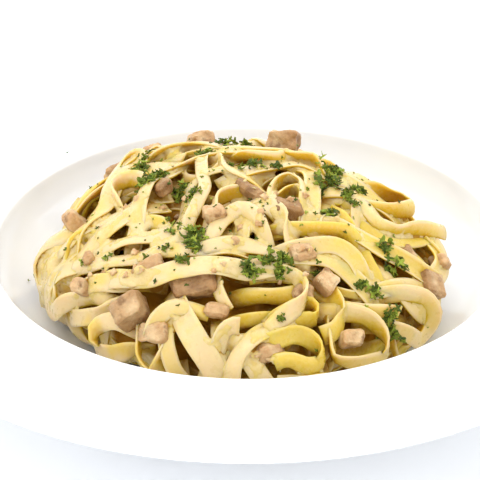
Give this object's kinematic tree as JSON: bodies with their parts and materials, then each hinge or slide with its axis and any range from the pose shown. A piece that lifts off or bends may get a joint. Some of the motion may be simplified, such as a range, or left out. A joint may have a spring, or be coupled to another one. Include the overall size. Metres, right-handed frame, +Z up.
{
  "type": "fettuccine alfredo",
  "caption": "Creamy fettuccine heaped in a deep round white pasta plate with a wide flat rim, mixed with diced ham and chopped parsley.",
  "frame": {"origin": "centre of the plate's foot, on the table", "axes": "+Z up along the plate's axis; +X to the right and -Y towards the viewer, as the plate is served"},
  "size_m": [0.28, 0.28, 0.0701],
  "materials": {
    "porcelain": "white glaze",
    "pasta": "moist, coated with cream sauce",
    "ham": "moist cooked ham, browned at the edges"
  },
  "bodies": {
    "root": {"plate": "porcelain", "pasta_heap": "pasta", "ham_back_left": "ham", "ham_back_right": "ham", "ham_back_small": "ham", "ham_left_edge": "ham", "ham_crown_left": "ham", "ham_crown_front": "ham", "ham_crown_strip": "ham", "ham_crown_right": "ham", "ham_left_flank_small": "ham", "ham_left_flank": "ham", "ham_left_corner": "ham", "ham_front_left_large": "ham", "ham_front_left_flat": "ham", "ham_front_large": "ham", "ham_front_strip": "ham", "ham_front_low": "ham", "ham_right_upper": "ham", "ham_right_cube": "ham", "ham_right_gap": "ham", "ham_right_curl": "ham", "ham_right_flank": "ham", "ham_right_edge": "ham", "ham_right_corner": "ham", "ham_far_left": "ham", "ham_far_middle": "ham", "ham_far_small": "ham"}
  },
  "joints": []
}
